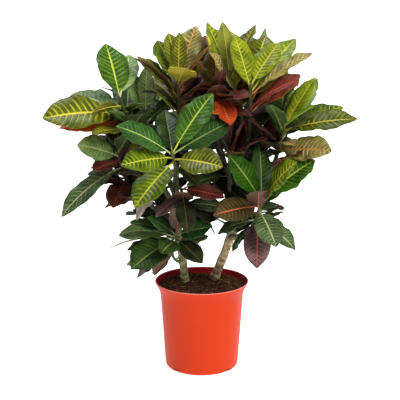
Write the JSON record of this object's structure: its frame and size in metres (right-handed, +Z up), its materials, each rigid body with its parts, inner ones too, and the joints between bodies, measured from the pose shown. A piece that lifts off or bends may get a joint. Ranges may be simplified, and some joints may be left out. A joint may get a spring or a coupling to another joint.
{
  "type": "potted croton",
  "caption": "Branching croton with large leathery wavy leaves, in a round flared nursery pot filled with soil.",
  "frame": {"origin": "centre of the pot's flat bottom", "axes": "+Z up along the pot's axis, -Y towards the front of the plant, +X to its right seen from the front"},
  "size_m": [0.6725, 0.5005, 0.7803],
  "materials": {
    "pot": "satin orange-red moulded plastic, a little darker inside",
    "soil": "dark brown damp potting compost of peat and bark crumbs",
    "bark": "tan to greenish bark with old leaf scars",
    "leaf": "leathery satin leaf, dark green to maroon, with yellow to salmon midrib and veins"
  },
  "bodies": {
    "root": {"pot": "pot", "soil": "soil", "left_stem": "bark", "right_stem": "bark", "shoot_back_left": "leaf", "shoot_back_low_left": "leaf", "shoot_back_low_mid": "leaf", "shoot_back_low_right": "leaf", "shoot_back_right": "leaf", "shoot_back_top": "leaf", "shoot_centre": "leaf", "shoot_front_left": "leaf", "shoot_front_low": "leaf", "shoot_left_inner": "leaf", "shoot_left_mid": "leaf", "shoot_low_left": "leaf", "shoot_lower_right": "leaf", "shoot_right": "leaf", "shoot_top": "leaf", "shoot_top_left": "leaf", "shoot_top_mid": "leaf", "shoot_top_right": "leaf", "shoot_upper_left": "leaf"}
  },
  "joints": []
}
